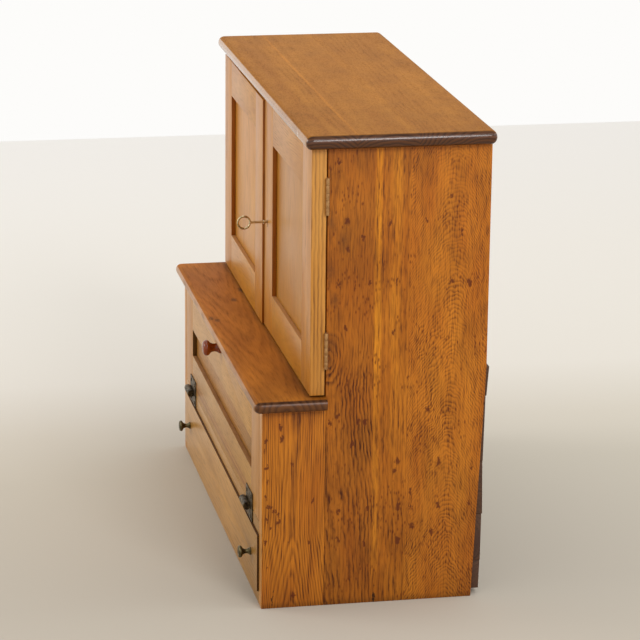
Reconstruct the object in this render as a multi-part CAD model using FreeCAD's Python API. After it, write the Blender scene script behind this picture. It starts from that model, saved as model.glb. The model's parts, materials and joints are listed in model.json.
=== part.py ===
import FreeCAD
import Part
import math
import os

from FreeCAD import Vector

# A step-back oak tool chest in millimetres.
# The origin is on the floor, at the middle of the case's width and depth. +Z is up and the front faces -Y.

# Case boards
case_width = 700.0              # over the outer faces of the two sides
case_depth = 306.0              # lower front edge to rear edge of a side
case_height = 655.0             # floor to the upper face of the top board
side_thickness = 20.0
bottom_thickness = 17.0
drawer_opening_height = 82.5
divider_thickness = 18.5
step_height = 297.0             # floor to the upper face of the step board
step_thickness = 16.0
upper_setback = 86.0            # lower front edge back to the front edge of the upper sides
top_thickness = 19.0

# Nosings of the top board and the step board
top_front_overhang = 10.0       # past the front of the doors
top_side_overhang = 14.5
top_rear_overhang = 4.5
top_nosing_radius = 9.0
step_front_overhang = 12.8
step_side_overhang = 14.5
step_nosing_radius = 7.5
nosing_corner_radius = 10.0     # the rounding of a nosed board's corners, seen from above

# Back boards, laid across and let into a rabbet in the sides
back_thickness = 12.0
back_rabbet_depth = 12.5        # along the depth of the case
back_rabbet_width = 12.0        # across the thickness of a side
back_floor_gap = 8.0            # lowest board to the floor
back_board_play = 0.4           # between one board and the next
back_height_shares = (0.065, 0.107, 0.121, 0.148, 0.067, 0.164, 0.164, 0.164)
back_extras = ((-1.0, 0.0), (0.5, 1.0), (2.0, 0.5), (0.8, 2.5), (3.6, 6.4),
               (0.0, 0.0), (0.0, 0.0), (0.0, 0.0))  # added thickness at a board's lower and upper edge
split_height = 327.0            # the right side's rear lip is split off from here down
split_depth = 14.2              # how far the split has run in at the floor

# Cupboard inside
shelf_rise = 178.0              # cupboard floor to the upper face of the shelf
shelf_thickness = 15.0
shelf_setback = 16.0            # behind the front edges of the upper sides
shelf_play = 0.3
cleat_width = 12.0
cleat_height = 16.0
cleat_setback = 8.0             # behind the shelf's front edge

# Frame-and-panel work of the doors and the fall front
stile_width = 62.0
door_rail_width = 58.0
door_thickness = 20.0
panel_thickness = 7.0
panel_setback = 6.5             # behind the face of the frame
groove_depth = 9.0
joint_fit = 0.2                 # each side of a panel or tongue in its groove
panel_edge_play = 0.9           # panel edge to the bottom of the groove

# Doors
door_case_gap = 2.0             # door back to the front edge of the sides, which the hinge leaves fill
door_meeting_gap = 2.0
door_top_gap = 1.5
door_bottom_gap = 3.0
left_door_ajar_angle = 0.5      # the left door stands this far off the case, in degrees
left_door_planing = 6.0         # taken off the left door's upper edge

# Butt hinges of the doors
hinge_length = 50.0
hinge_inset = 62.0              # hinge middle to the door's top or bottom edge
hinge_leaf_width = 16.0
hinge_leaf_play = 0.1           # half the gap between two folded leaves
hinge_knuckle_radius = 2.75
hinge_knuckle_count = 5
hinge_pin_radius = 1.4

# Surface hinges of the fall front
flap_hinge_length = 50.0
flap_hinge_inset = 72.0         # end of the fall front to the middle of a hinge
flap_leaf_height = 22.0
flap_leaf_drop = 18.0           # how far the lower leaf reaches down the divider
flap_leaf_thickness = 1.6
flap_barrel_length = 33.0       # the leaves run on past it at their right end
flap_barrel_radius = 5.4
flap_knuckle_count = 3
flap_pin_radius = 2.2

# Fits that all hinges share
pin_fit = 0.05
knuckle_play = 0.3

# Fall front
flap_thickness = 20.0
flap_bottom_gap = 1.0
flap_side_gap = 1.0
flap_top_gap = 3.0              # lets the upper back edge swing past the step board
flap_bottom_rail_width = 55.0
flap_top_rail_width = 62.0
flap_stop_length = 50.0
flap_stop_depth = 15.0
flap_stop_height = 14.0
flap_stop_inset = 30.0          # from the inner face of a side
stop_clearance = 0.3

# Turned wooden knob of the fall front
flap_knob_drop = 11.0           # fall front's top edge to the knob's axis
flap_knob_length = 27.0
flap_knob_radius = 11.4
flap_knob_neck_radius = 5.8
flap_knob_base_radius = 8.8
flap_knob_spigot_radius = 4.0
flap_knob_spigot_length = 14.0
flap_knob_length_shares = (0.10, 0.37, 0.61, 0.77, 0.95)     # foot, neck, shoulder, widest, crown

# Drawer
drawer_gap = 1.0                # round the front
drawer_run_clearance = 0.3      # under the sides
drawer_rear_gap = 21.5          # behind the drawer, to the back boards
drawer_proud = 2.6              # how far the shut drawer's front stands out of the case
drawer_front_thickness = 22.6
drawer_side_thickness = 12.0
drawer_side_height = 70.0
drawer_back_thickness = 12.0
drawer_bottom_thickness = 5.0
drawer_groove_depth = 5.0
drawer_groove_rise = 8.0        # lower edge of a side to its groove
drawer_bottom_play = 0.4
dovetail_lap = 8.6              # wood left in front of the tails
dovetail_count = 3
dovetail_base_share = 0.46      # of the pitch of the tails
dovetail_tip_share = 0.66
dovetail_fit = 0.1
drawer_stop_inset = 110.0       # from the inner face of a side
drawer_stop_width = 40.0
drawer_stop_depth = 15.0
drawer_stop_height = 20.0

# Turned brass knobs of the drawer
drawer_knob_rise = 39.5         # lower edge of the drawer's front to the knob's axis
drawer_knob_inset = 51.0        # end of the drawer's front to the knob's axis
drawer_knob_length = 17.8
drawer_knob_radius = 8.3
drawer_knob_neck_radius = 3.2
drawer_knob_base_radius = 5.2
drawer_knob_spigot_radius = 2.2
drawer_knob_spigot_length = 16.0
drawer_knob_length_shares = (0.10, 0.44, 0.70, 0.82, 0.97)

# Lock on the back of the right door, its bolt and its key
key_rise = 157.5                # door's lower edge to the key's axis
lock_backset = 23.0             # door's meeting edge to the key's axis
lock_width = 46.0
lock_rise = 24.0                # above the key's axis
lock_drop = 12.0                # below the key's axis
lock_depth = 10.0
lock_wall = 1.2
lock_edge_margin = 1.0          # door's meeting edge to the lock
lock_slack = 0.4                # round the bolt and the bit
bolt_length = 36.0
bolt_height = 9.0
bolt_thickness = 3.0
strike_width = 20.0
strike_height = 30.0
strike_thickness = 1.0
strike_margin = 1.5             # left door's meeting edge to its strike plate
key_reach = 34.0                # door's face to the middle of the key's ring
key_ring_radius = 8.8           # to the middle of the wire
key_wire_radius = 1.5
key_shank_radius = 1.8
key_collar_radius = 2.9
key_collar_length = 3.0
key_collar_standoff = 3.0       # door's face to the collar
key_tip_radius = 1.1
key_bit_drop = 7.0              # from the key's axis
key_bit_width = 3.4             # along the shank
key_bit_thickness = 1.8
keyhole_clearance = 0.4

knob_spigot_fit = 0.08
cut_overrun = 5.0

# Places worked out from the sizes above
half_width = case_width / 2
inner_half = half_width - side_thickness
front_y = -case_depth / 2
rear_y = case_depth / 2
upper_front_y = front_y + upper_setback
top_under_z = case_height - top_thickness
step_under_z = step_height - step_thickness
divider_under_z = bottom_thickness + drawer_opening_height
divider_top_z = divider_under_z + divider_thickness
back_front_y = rear_y - back_rabbet_depth
door_back_y = upper_front_y - door_case_gap
door_front_y = door_back_y - door_thickness
door_low_z = step_height + door_bottom_gap
door_high_z = top_under_z - door_top_gap
shelf_height = step_height + shelf_rise
hinge_axis_y = upper_front_y - door_case_gap / 2
hinge_knuckle_sweep = hinge_knuckle_radius + knuckle_play
hinge_axis_x = half_width + math.sqrt(hinge_knuckle_sweep ** 2 - (door_case_gap / 2) ** 2)
flap_low_z = divider_top_z + flap_bottom_gap
flap_high_z = step_under_z - flap_top_gap
flap_axis_y = front_y - flap_barrel_radius - knuckle_play
flap_axis_z = divider_top_z + flap_bottom_gap / 2
drawer_half = inner_half - drawer_gap
drawer_low_z = bottom_thickness + drawer_gap
drawer_high_z = divider_under_z - drawer_gap
drawer_run_z = bottom_thickness + drawer_run_clearance
drawer_front_y = front_y - drawer_proud
drawer_joint_y = drawer_front_y + drawer_front_thickness
drawer_rear_y = back_front_y - drawer_rear_gap
lock_height = door_low_z + key_rise
key_x = door_meeting_gap / 2 + lock_backset
lock_rear_y = door_back_y + lock_depth

origin = Vector(0, 0, 0)
along_x = Vector(1, 0, 0)
along_y = Vector(0, 1, 0)
along_z = Vector(0, 0, 1)


def block(x0, x1, y0, y1, z0, z1):
    return Part.makeBox(x1 - x0, y1 - y0, z1 - z0, Vector(x0, y0, z0))


def rod(radius, start, direction, length):
    return Part.makeCylinder(radius, length, start, direction)


def mirrored(shape):
    return shape.mirror(origin, along_x)


def nosed_board(x0, x1, y0, y1, z0, z1, radius, nosed_rear):
    # A board with round-nosed edges at the front, at both ends and, if asked, at the rear.
    board = block(x0, x1, y0, y1, z0, z1)
    middle_y = (y0 + y1) / 2
    corners = []
    for edge in board.Edges:
        centre = edge.CenterOfMass
        upright = abs(edge.Vertexes[0].Z - edge.Vertexes[1].Z) > (z1 - z0) / 2
        if upright and (nosed_rear or centre.y < middle_y):
            corners.append(edge)
    board = board.makeFillet(nosing_corner_radius, corners)
    rims = []
    for edge in board.Edges:
        box = edge.BoundBox
        level = box.ZLength < radius / 2
        at_rear = box.YMin > y1 - nosing_corner_radius / 2
        if level and (nosed_rear or not at_rear):
            rims.append(edge)
    return board.makeFillet(radius, rims)


def framed_panel(x0, x1, y0, z0, z1, thickness, low_rail, high_rail):
    # Two stiles, two rails with stub tongues, and a loose panel in the grooves between them.
    y1 = y0 + thickness
    panel_y = y0 + panel_setback
    panel_back_y = panel_y + panel_thickness
    slot_y = panel_y - joint_fit
    slot_back_y = panel_back_y + joint_fit
    inner_x0 = x0 + stile_width
    inner_x1 = x1 - stile_width
    inner_z0 = z0 + low_rail
    inner_z1 = z1 - high_rail
    tongue = groove_depth - joint_fit
    sunk = groove_depth - panel_edge_play

    def stile(outer_x, inner_x):
        reach = math.copysign(groove_depth, inner_x - outer_x)
        beyond = math.copysign(cut_overrun, inner_x - outer_x)
        wood = block(min(outer_x, inner_x), max(outer_x, inner_x), y0, y1, z0, z1)
        ends = sorted((inner_x - reach, inner_x + beyond))
        return wood.cut(block(*ends, slot_y, slot_back_y, z0 - cut_overrun, z1 + cut_overrun))

    def rail(low_z, high_z, groove_low_z, groove_high_z):
        wood = block(inner_x0, inner_x1, y0, y1, low_z, high_z)
        bar = block(inner_x0 - tongue, inner_x1 + tongue, panel_y, panel_back_y, low_z, high_z)
        groove = block(x0, x1, slot_y, slot_back_y, groove_low_z, groove_high_z)
        return wood.fuse(bar).removeSplitter().cut(groove)

    return {
        "low_stile": stile(x0, inner_x0),
        "high_stile": stile(x1, inner_x1),
        "bottom_rail": rail(z0, inner_z0, inner_z0 - groove_depth, inner_z0 + cut_overrun),
        "top_rail": rail(inner_z1, z1, inner_z1 - cut_overrun, inner_z1 + groove_depth),
        "panel": block(inner_x0 - sunk, inner_x1 + sunk, panel_y, panel_back_y,
                       inner_z0 - sunk, inner_z1 + sunk),
    }


def hinge_leaf(plate, start, direction, length, count, first, radius, pin_radius):
    # A plate with every second knuckle from the first one on, cleared for its partner's knuckles.
    pitch = length / count
    leaf = plate
    knuckles = []
    for number in range(count):
        foot = start + direction * (number * pitch)
        if number % 2 == first:
            foot = foot + direction * (knuckle_play / 2)
            knuckles.append(rod(radius, foot, direction, pitch - knuckle_play))
        else:
            foot = foot - direction * (knuckle_play / 2)
            leaf = leaf.cut(rod(radius + knuckle_play, foot, direction, pitch + knuckle_play))
    leaf = leaf.fuse(knuckles).removeSplitter()
    hole_foot = start - direction * cut_overrun
    return leaf.cut(rod(pin_radius + pin_fit, hole_foot, direction, length + cut_overrun * 2))


def butt_hinge(middle_z):
    # One hinge at the right edge of the case, folded shut between the side and the door.
    start = Vector(hinge_axis_x, hinge_axis_y, middle_z - hinge_length / 2)
    ends_x = (hinge_axis_x - hinge_leaf_width, hinge_axis_x)
    ends_z = (start.z, start.z + hinge_length)
    case_plate = block(*ends_x, hinge_axis_y + hinge_leaf_play, upper_front_y, *ends_z)
    door_plate = block(*ends_x, door_back_y, hinge_axis_y - hinge_leaf_play, *ends_z)
    sizes = (start, along_z, hinge_length, hinge_knuckle_count)
    case_leaf = hinge_leaf(case_plate, *sizes, 0, hinge_knuckle_radius, hinge_pin_radius)
    door_leaf = hinge_leaf(door_plate, *sizes, 1, hinge_knuckle_radius, hinge_pin_radius)
    pin = rod(hinge_pin_radius, start, along_z, hinge_length)
    return case_leaf, door_leaf, pin


def surface_hinge(middle_x):
    # One hinge on the face of the fall front and the divider, with its barrel standing forward.
    start = Vector(middle_x - flap_hinge_length / 2, flap_axis_y, flap_axis_z)
    ends_x = (start.x, start.x + flap_hinge_length)
    ends_y = (front_y - flap_leaf_thickness, front_y)
    flap_plate = block(*ends_x, *ends_y, flap_axis_z + knuckle_play, flap_axis_z + flap_leaf_height)
    rail_plate = block(*ends_x, *ends_y, flap_axis_z - flap_leaf_drop, flap_axis_z - knuckle_play)
    sizes = (start, along_x, flap_barrel_length, flap_knuckle_count)
    rail_leaf = hinge_leaf(rail_plate, *sizes, 0, flap_barrel_radius, flap_pin_radius)
    flap_leaf = hinge_leaf(flap_plate, *sizes, 1, flap_barrel_radius, flap_pin_radius)
    pin = rod(flap_pin_radius, start, along_x, flap_barrel_length)
    return rail_leaf, flap_leaf, pin


def turned_knob(place, length, head, neck, base, spigot, spigot_length, length_shares):
    # A knob turned about the depth of the case: foot, hollow neck, round head, and a spigot in the wood.
    foot_share, neck_share, shoulder_share, widest_share, crown_share = length_shares
    shoulder_radius_share = 0.86
    crown_radius_share = 0.60

    def spot(radius, share):
        return Vector(radius, -length * share, 0)

    foot = spot(base, foot_share)
    shoulder = spot(head * shoulder_radius_share, shoulder_share)
    crown = spot(head * crown_radius_share, crown_share)
    tip = spot(0, 1)
    outline = [
        Part.LineSegment(Vector(0, spigot_length, 0), Vector(spigot, spigot_length, 0)),
        Part.LineSegment(Vector(spigot, spigot_length, 0), Vector(spigot, 0, 0)),
        Part.LineSegment(Vector(spigot, 0, 0), Vector(base, 0, 0)),
        Part.LineSegment(Vector(base, 0, 0), foot),
        Part.Arc(foot, spot(neck, neck_share), shoulder),
        Part.Arc(shoulder, spot(head, widest_share), crown),
        Part.LineSegment(crown, tip),
        Part.LineSegment(tip, Vector(0, spigot_length, 0)),
    ]
    face = Part.Face(Part.Wire([piece.toShape() for piece in outline]))
    knob = face.revolve(origin, along_y, 360)
    knob.translate(place)
    return knob


def spigot_hole(place, radius, length):
    return rod(radius + knob_spigot_fit, place - along_y * cut_overrun, along_y, length + cut_overrun)


def tails(x0, x1, base_y, tip_y, z0, z1, fit):
    # A row of dovetails across the thickness of a board, from base_y out to tip_y.
    pitch = (z1 - z0) / dovetail_count
    base = pitch * dovetail_base_share / 2 + fit
    tip = pitch * dovetail_tip_share / 2 + fit
    end_y = tip_y + math.copysign(fit, tip_y - base_y)
    row = []
    for number in range(dovetail_count):
        middle = z0 + pitch * (number + 0.5)
        corners = [Vector(x0, base_y, middle - base), Vector(x0, end_y, middle - tip),
                   Vector(x0, end_y, middle + tip), Vector(x0, base_y, middle + base)]
        face = Part.Face(Part.makePolygon(corners + corners[:1]))
        row.append(face.extrude(Vector(x1 - x0, 0, 0)))
    return row


nodes = {}


def add_case():
    top_front_y = door_front_y - top_front_overhang
    top_half = half_width + top_side_overhang
    nodes["top_board"] = nosed_board(-top_half, top_half, top_front_y, rear_y + top_rear_overhang,
                                     top_under_z, case_height, top_nosing_radius, True)
    step_half = half_width + step_side_overhang
    nodes["step_board"] = nosed_board(-step_half, step_half, front_y - step_front_overhang, upper_front_y,
                                      step_under_z, step_height, step_nosing_radius, False)
    side = block(inner_half, half_width, upper_front_y, rear_y, 0, top_under_z)
    side = side.cut(block(inner_half - cut_overrun, inner_half + back_rabbet_width, back_front_y,
                          rear_y + cut_overrun, -cut_overrun, top_under_z + cut_overrun))
    front_board = block(inner_half, half_width, front_y, upper_front_y, 0, step_under_z)
    nodes["left_side_board"] = mirrored(side)
    nodes["left_side_front_board"] = mirrored(front_board)
    nodes["right_side_board"] = side.cut(split_lip())
    nodes["right_side_front_board"] = front_board
    for name, low_z, high_z, start_y in (
            ("bottom_board", 0, bottom_thickness, front_y),
            ("divider_board", divider_under_z, divider_top_z, front_y),
            ("cupboard_floor", step_under_z, step_height, upper_front_y)):
        nodes[name] = block(-inner_half, inner_half, start_y, back_front_y, low_z, high_z)
    add_shelf()
    add_back()
    add_stops()


def split_lip():
    # The wedge that has come away from the rear lip of the right side.
    corners = [Vector(inner_half, rear_y, split_height), Vector(inner_half, rear_y - split_depth, 0),
               Vector(inner_half, rear_y, 0)]
    return Part.Face(Part.makePolygon(corners + corners[:1])).extrude(Vector(side_thickness, 0, 0))


def add_shelf():
    shelf_front_y = upper_front_y + shelf_setback
    shelf_under_z = shelf_height - shelf_thickness
    shelf_half = inner_half - shelf_play
    nodes["cupboard_shelf"] = block(-shelf_half, shelf_half, shelf_front_y, back_front_y - shelf_play,
                                    shelf_under_z, shelf_height)
    cleat = block(inner_half - cleat_width, inner_half, shelf_front_y + cleat_setback, back_front_y,
                  shelf_under_z - cleat_height, shelf_under_z)
    nodes["shelf_cleats"] = Part.makeCompound([cleat, mirrored(cleat)])


def add_back():
    back_half = inner_half + back_rabbet_width - joint_fit
    back_height = top_under_z - back_floor_gap
    low_z = back_floor_gap
    plain_rear_y = back_front_y + back_thickness
    for number, (share, extras) in enumerate(zip(back_height_shares, back_extras), start=1):
        high_z = low_z + back_height * share
        board_high_z = high_z - back_board_play
        low_extra, high_extra = extras
        corners = [Vector(-back_half, back_front_y, low_z),
                   Vector(-back_half, plain_rear_y + low_extra, low_z),
                   Vector(-back_half, plain_rear_y + high_extra, board_high_z),
                   Vector(-back_half, back_front_y, board_high_z)]
        end = Part.Face(Part.makePolygon(corners + corners[:1]))
        nodes["back_board_%d" % number] = end.extrude(along_x * (back_half * 2))
        low_z = high_z


def add_stops():
    stop_y = front_y + flap_thickness + stop_clearance
    stop_x = inner_half - flap_stop_inset
    flap_stop = block(stop_x - flap_stop_length, stop_x, stop_y, stop_y + flap_stop_depth,
                      step_under_z - flap_stop_height, step_under_z)
    nodes["flap_stops"] = Part.makeCompound([flap_stop, mirrored(flap_stop)])
    stop_y = drawer_rear_y + stop_clearance
    stop_x = inner_half - drawer_stop_inset
    drawer_stop = block(stop_x - drawer_stop_width, stop_x, stop_y, stop_y + drawer_stop_depth,
                        bottom_thickness, bottom_thickness + drawer_stop_height)
    nodes["drawer_stops"] = Part.makeCompound([drawer_stop, mirrored(drawer_stop)])


def ajar(shape):
    shape.rotate(Vector(-hinge_axis_x, hinge_axis_y, 0), along_z, -left_door_ajar_angle)
    return shape


def add_doors():
    near_x = door_meeting_gap / 2
    right = framed_panel(near_x, half_width, door_front_y, door_low_z, door_high_z,
                         door_thickness, door_rail_width, door_rail_width)
    right["low_stile"] = right["low_stile"].cut(keyhole())
    left = framed_panel(-half_width, -near_x, door_front_y, door_low_z, door_high_z - left_door_planing,
                        door_thickness, door_rail_width, door_rail_width - left_door_planing)
    for name, piece in (("meeting_stile", "low_stile"), ("hinge_stile", "high_stile"),
                        ("top_rail", "top_rail"), ("bottom_rail", "bottom_rail"), ("panel", "panel")):
        nodes["right_door_" + name] = right[piece]
    for name, piece in (("meeting_stile", "high_stile"), ("hinge_stile", "low_stile"),
                        ("top_rail", "top_rail"), ("bottom_rail", "bottom_rail"), ("panel", "panel")):
        nodes["left_door_" + name] = ajar(left[piece])
    case_leaves, door_leaves, pins = zip(*(butt_hinge(middle) for middle in
                                           (door_low_z + hinge_inset, door_high_z - hinge_inset)))
    nodes["right_door_hinge_case_leaves"] = Part.makeCompound(case_leaves)
    nodes["right_door_hinge_door_leaves"] = Part.makeCompound(door_leaves)
    nodes["right_door_hinge_pins"] = Part.makeCompound(pins)
    nodes["left_door_hinge_case_leaves"] = Part.makeCompound([mirrored(leaf) for leaf in case_leaves])
    nodes["left_door_hinge_door_leaves"] = Part.makeCompound([ajar(mirrored(leaf)) for leaf in door_leaves])
    nodes["left_door_hinge_pins"] = Part.makeCompound([mirrored(pin) for pin in pins])
    strike_x = -near_x - strike_margin
    strike = block(strike_x - strike_width, strike_x, door_back_y, door_back_y + strike_thickness,
                   lock_height + lock_rise - strike_height, lock_height + lock_rise)
    nodes["left_door_strike_plate"] = ajar(strike)


def keyhole():
    throat = Vector(key_x, door_front_y - cut_overrun, lock_height)
    length = door_thickness + cut_overrun * 2
    half_slot = key_bit_thickness / 2 + keyhole_clearance
    slot = block(key_x - half_slot, key_x + half_slot, throat.y, throat.y + length,
                 lock_height - key_bit_drop - keyhole_clearance, lock_height)
    return rod(key_shank_radius + keyhole_clearance, throat, along_y, length).fuse(slot)


def add_lock():
    lock_x = door_meeting_gap / 2 + lock_edge_margin
    low_z = lock_height - lock_drop
    high_z = lock_height + lock_rise
    bolt_back_y = lock_rear_y - lock_wall - lock_slack
    bolt_front_y = bolt_back_y - bolt_thickness
    bolt_low_z = lock_height + key_bit_drop + lock_slack
    bolt_high_z = bolt_low_z + bolt_height
    case = block(lock_x, lock_x + lock_width, door_back_y, lock_rear_y, low_z, high_z)
    case = case.cut(block(lock_x + lock_wall, lock_x + lock_width - lock_wall, door_back_y - cut_overrun,
                          lock_rear_y - lock_wall, low_z + lock_wall, high_z - lock_wall))
    case = case.cut(block(lock_x - cut_overrun, lock_x + lock_wall * 2, bolt_front_y - lock_slack,
                          bolt_back_y + lock_slack, bolt_low_z - lock_slack, bolt_high_z + lock_slack))
    tip_hole = rod(key_tip_radius + pin_fit, Vector(key_x, door_back_y, lock_height), along_y,
                   lock_depth + cut_overrun)
    nodes["lock_case"] = case.cut(tip_hole)
    nodes["lock_bolt"] = block(lock_x, lock_x + bolt_length, bolt_front_y, bolt_back_y,
                               bolt_low_z, bolt_high_z)
    add_key()


def add_key():
    ring_y = door_front_y - key_reach
    neck_y = ring_y + key_ring_radius
    shank_end_y = lock_rear_y - lock_wall - lock_slack
    bit_y = door_back_y + lock_slack
    collar_y = door_front_y - key_collar_standoff - key_collar_length

    def on_axis(y):
        return Vector(key_x, y, lock_height)

    ring = Part.makeTorus(key_ring_radius, key_wire_radius, on_axis(ring_y), along_x)
    shank = rod(key_shank_radius, on_axis(neck_y), along_y, shank_end_y - neck_y)
    collar = rod(key_collar_radius, on_axis(collar_y), along_y, key_collar_length)
    tip = rod(key_tip_radius, on_axis(shank_end_y), along_y, lock_rear_y - shank_end_y)
    bit = block(key_x - key_bit_thickness / 2, key_x + key_bit_thickness / 2, bit_y, bit_y + key_bit_width,
                lock_height - key_bit_drop, lock_height)
    nodes["key"] = shank.fuse([ring, collar, tip, bit])


def add_flap():
    flap_half = inner_half - flap_side_gap
    pieces = framed_panel(-flap_half, flap_half, front_y, flap_low_z, flap_high_z, flap_thickness,
                          flap_bottom_rail_width, flap_top_rail_width)
    knob_place = Vector(0, front_y, flap_high_z - flap_knob_drop)
    hole = spigot_hole(knob_place, flap_knob_spigot_radius, flap_knob_spigot_length)
    pieces["top_rail"] = pieces["top_rail"].cut(hole)
    for name, piece in (("left_stile", "low_stile"), ("right_stile", "high_stile"), ("top_rail", "top_rail"),
                        ("bottom_rail", "bottom_rail"), ("panel", "panel")):
        nodes["flap_" + name] = pieces[piece]
    nodes["flap_knob"] = turned_knob(knob_place, flap_knob_length, flap_knob_radius, flap_knob_neck_radius,
                                     flap_knob_base_radius, flap_knob_spigot_radius, flap_knob_spigot_length,
                                     flap_knob_length_shares)
    rail_leaves, flap_leaves, pins = zip(*(surface_hinge(middle) for middle in
                                           (flap_hinge_inset - flap_half, flap_half - flap_hinge_inset)))
    nodes["flap_hinge_rail_leaves"] = Part.makeCompound(rail_leaves)
    nodes["flap_hinge_flap_leaves"] = Part.makeCompound(flap_leaves)
    nodes["flap_hinge_pins"] = Part.makeCompound(pins)


def add_drawer():
    side_x = drawer_half - drawer_side_thickness
    side_high_z = drawer_run_z + drawer_side_height
    groove_z = drawer_run_z + drawer_groove_rise
    groove_high_z = groove_z + drawer_bottom_thickness
    back_y = drawer_rear_y - drawer_back_thickness
    front_row = (drawer_joint_y, drawer_front_y + dovetail_lap, drawer_low_z, side_high_z)
    back_row = (back_y, drawer_rear_y, groove_high_z, side_high_z)
    groove_half = side_x + drawer_groove_depth
    groove = block(-groove_half, groove_half, drawer_joint_y - drawer_groove_depth,
                   drawer_rear_y + cut_overrun, groove_z - joint_fit, groove_high_z + joint_fit)

    side = block(side_x, drawer_half, drawer_joint_y, back_y, drawer_run_z, side_high_z)
    side = side.fuse(tails(side_x, drawer_half, *front_row, 0) + tails(side_x, drawer_half, *back_row, 0))
    side = side.removeSplitter().cut(groove)
    nodes["drawer_right_side"] = side
    nodes["drawer_left_side"] = mirrored(side)

    front = block(-drawer_half, drawer_half, drawer_front_y, drawer_joint_y, drawer_low_z, drawer_high_z)
    back = block(-drawer_half, drawer_half, back_y, drawer_rear_y, groove_high_z + joint_fit, side_high_z)
    for socket in tails(side_x - dovetail_fit, drawer_half + cut_overrun, *front_row, dovetail_fit):
        front = front.cut([socket, mirrored(socket)])
    for socket in tails(side_x - dovetail_fit, drawer_half + cut_overrun, *back_row, dovetail_fit):
        back = back.cut([socket, mirrored(socket)])
    front = front.cut(groove)
    knob_x = drawer_half - drawer_knob_inset
    for hand, x in (("left", -knob_x), ("right", knob_x)):
        place = Vector(x, drawer_front_y, drawer_low_z + drawer_knob_rise)
        front = front.cut(spigot_hole(place, drawer_knob_spigot_radius, drawer_knob_spigot_length))
        nodes["drawer_%s_knob" % hand] = turned_knob(
            place, drawer_knob_length, drawer_knob_radius, drawer_knob_neck_radius,
            drawer_knob_base_radius, drawer_knob_spigot_radius, drawer_knob_spigot_length,
            drawer_knob_length_shares)
    nodes["drawer_front"] = front
    nodes["drawer_back"] = back
    bottom_half = groove_half - drawer_bottom_play
    nodes["drawer_bottom"] = block(-bottom_half, bottom_half,
                                   drawer_joint_y - drawer_groove_depth + drawer_bottom_play,
                                   drawer_rear_y, groove_z, groove_high_z)


add_case()
add_doors()
add_lock()
add_flap()
add_drawer()

os.makedirs("parts", exist_ok=True)
for node_name, node_shape in nodes.items():
    node_shape.exportStep("parts/%s.step" % node_name)
print("wrote %d nodes" % len(nodes))
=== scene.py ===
import bpy
import bmesh
import json
import math
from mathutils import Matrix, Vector

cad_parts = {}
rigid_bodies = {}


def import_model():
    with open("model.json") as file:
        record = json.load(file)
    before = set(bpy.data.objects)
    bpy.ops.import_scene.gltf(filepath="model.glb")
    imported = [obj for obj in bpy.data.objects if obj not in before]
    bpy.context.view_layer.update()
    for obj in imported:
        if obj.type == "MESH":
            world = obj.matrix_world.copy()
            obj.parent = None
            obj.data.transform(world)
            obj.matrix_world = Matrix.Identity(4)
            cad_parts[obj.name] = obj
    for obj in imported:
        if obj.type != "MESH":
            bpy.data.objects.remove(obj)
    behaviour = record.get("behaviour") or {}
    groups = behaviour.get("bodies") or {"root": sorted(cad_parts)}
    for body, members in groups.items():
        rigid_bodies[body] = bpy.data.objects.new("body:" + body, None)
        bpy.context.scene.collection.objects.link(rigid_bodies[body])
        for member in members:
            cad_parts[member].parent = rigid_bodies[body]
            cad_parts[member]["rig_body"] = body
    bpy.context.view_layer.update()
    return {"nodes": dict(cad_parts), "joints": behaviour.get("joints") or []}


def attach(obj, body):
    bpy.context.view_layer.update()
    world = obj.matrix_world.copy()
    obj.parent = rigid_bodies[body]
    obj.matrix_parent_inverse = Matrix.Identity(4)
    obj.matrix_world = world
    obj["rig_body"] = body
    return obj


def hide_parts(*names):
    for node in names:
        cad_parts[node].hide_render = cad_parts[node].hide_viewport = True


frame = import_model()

from types import SimpleNamespace

scene = bpy.context.scene
scene.view_settings.view_transform = "Standard"
mmPerMetre = 1000


def linear(hexText):  # sRGB hex to the linear colour that nodes and lamps take
    values = [int(hexText[i:i + 2], 16) / 255 for i in (1, 3, 5)]
    return tuple(v / 12.92 if v <= 0.04045 else ((v + 0.055) / 1.055) ** 2.4 for v in values) + (1.0,)


def addNode(tree, kind, links=None, stops=None, **settings):
    # An input goes by its name or its number. On a Mix node the colours are 6 and 7 with output 2, the
    # vectors 4 and 5 with output 1, and the plain numbers 2 and 3 with output 0.
    full = kind if kind.startswith(("Geometry", "Function", "NodeGroup")) else "ShaderNode" + kind
    node = tree.nodes.new(full)
    for name, value in settings.items():
        setattr(node, name, value)
    for name, value in (links or {}).items():
        if isinstance(value, bpy.types.NodeSocket):
            tree.links.new(value, node.inputs[name])
        else:
            node.inputs[name].default_value = value
    for number, (place, colour) in enumerate(stops or []):
        ramp = node.color_ramp.elements
        stop = ramp[number] if number < 2 else ramp.new(place)  # a new ramp has two stops
        stop.position = place
        stop.color = colour
    return node.outputs


def newMaterial(name):
    material = bpy.data.materials.new(name)
    material.use_nodes = True
    return material, material.node_tree, material.node_tree.nodes["Principled BSDF"].inputs


cameraView = {  # fitted to the straight edges in the photograph
    "placeM": (3.88414, -0.77751, 1.44914),
    "turnDeg": (73.8324, -0.5806, 78.9418),
    "lensMm": 159.75,
}
cameraData = bpy.data.cameras.new("camera")
cameraData.lens = cameraView["lensMm"]
camera = bpy.data.objects.new("camera", cameraData)
camera.location = cameraView["placeM"]
camera.rotation_euler = [math.radians(v) for v in cameraView["turnDeg"]]
scene.collection.objects.link(camera)
scene.camera = camera

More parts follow.
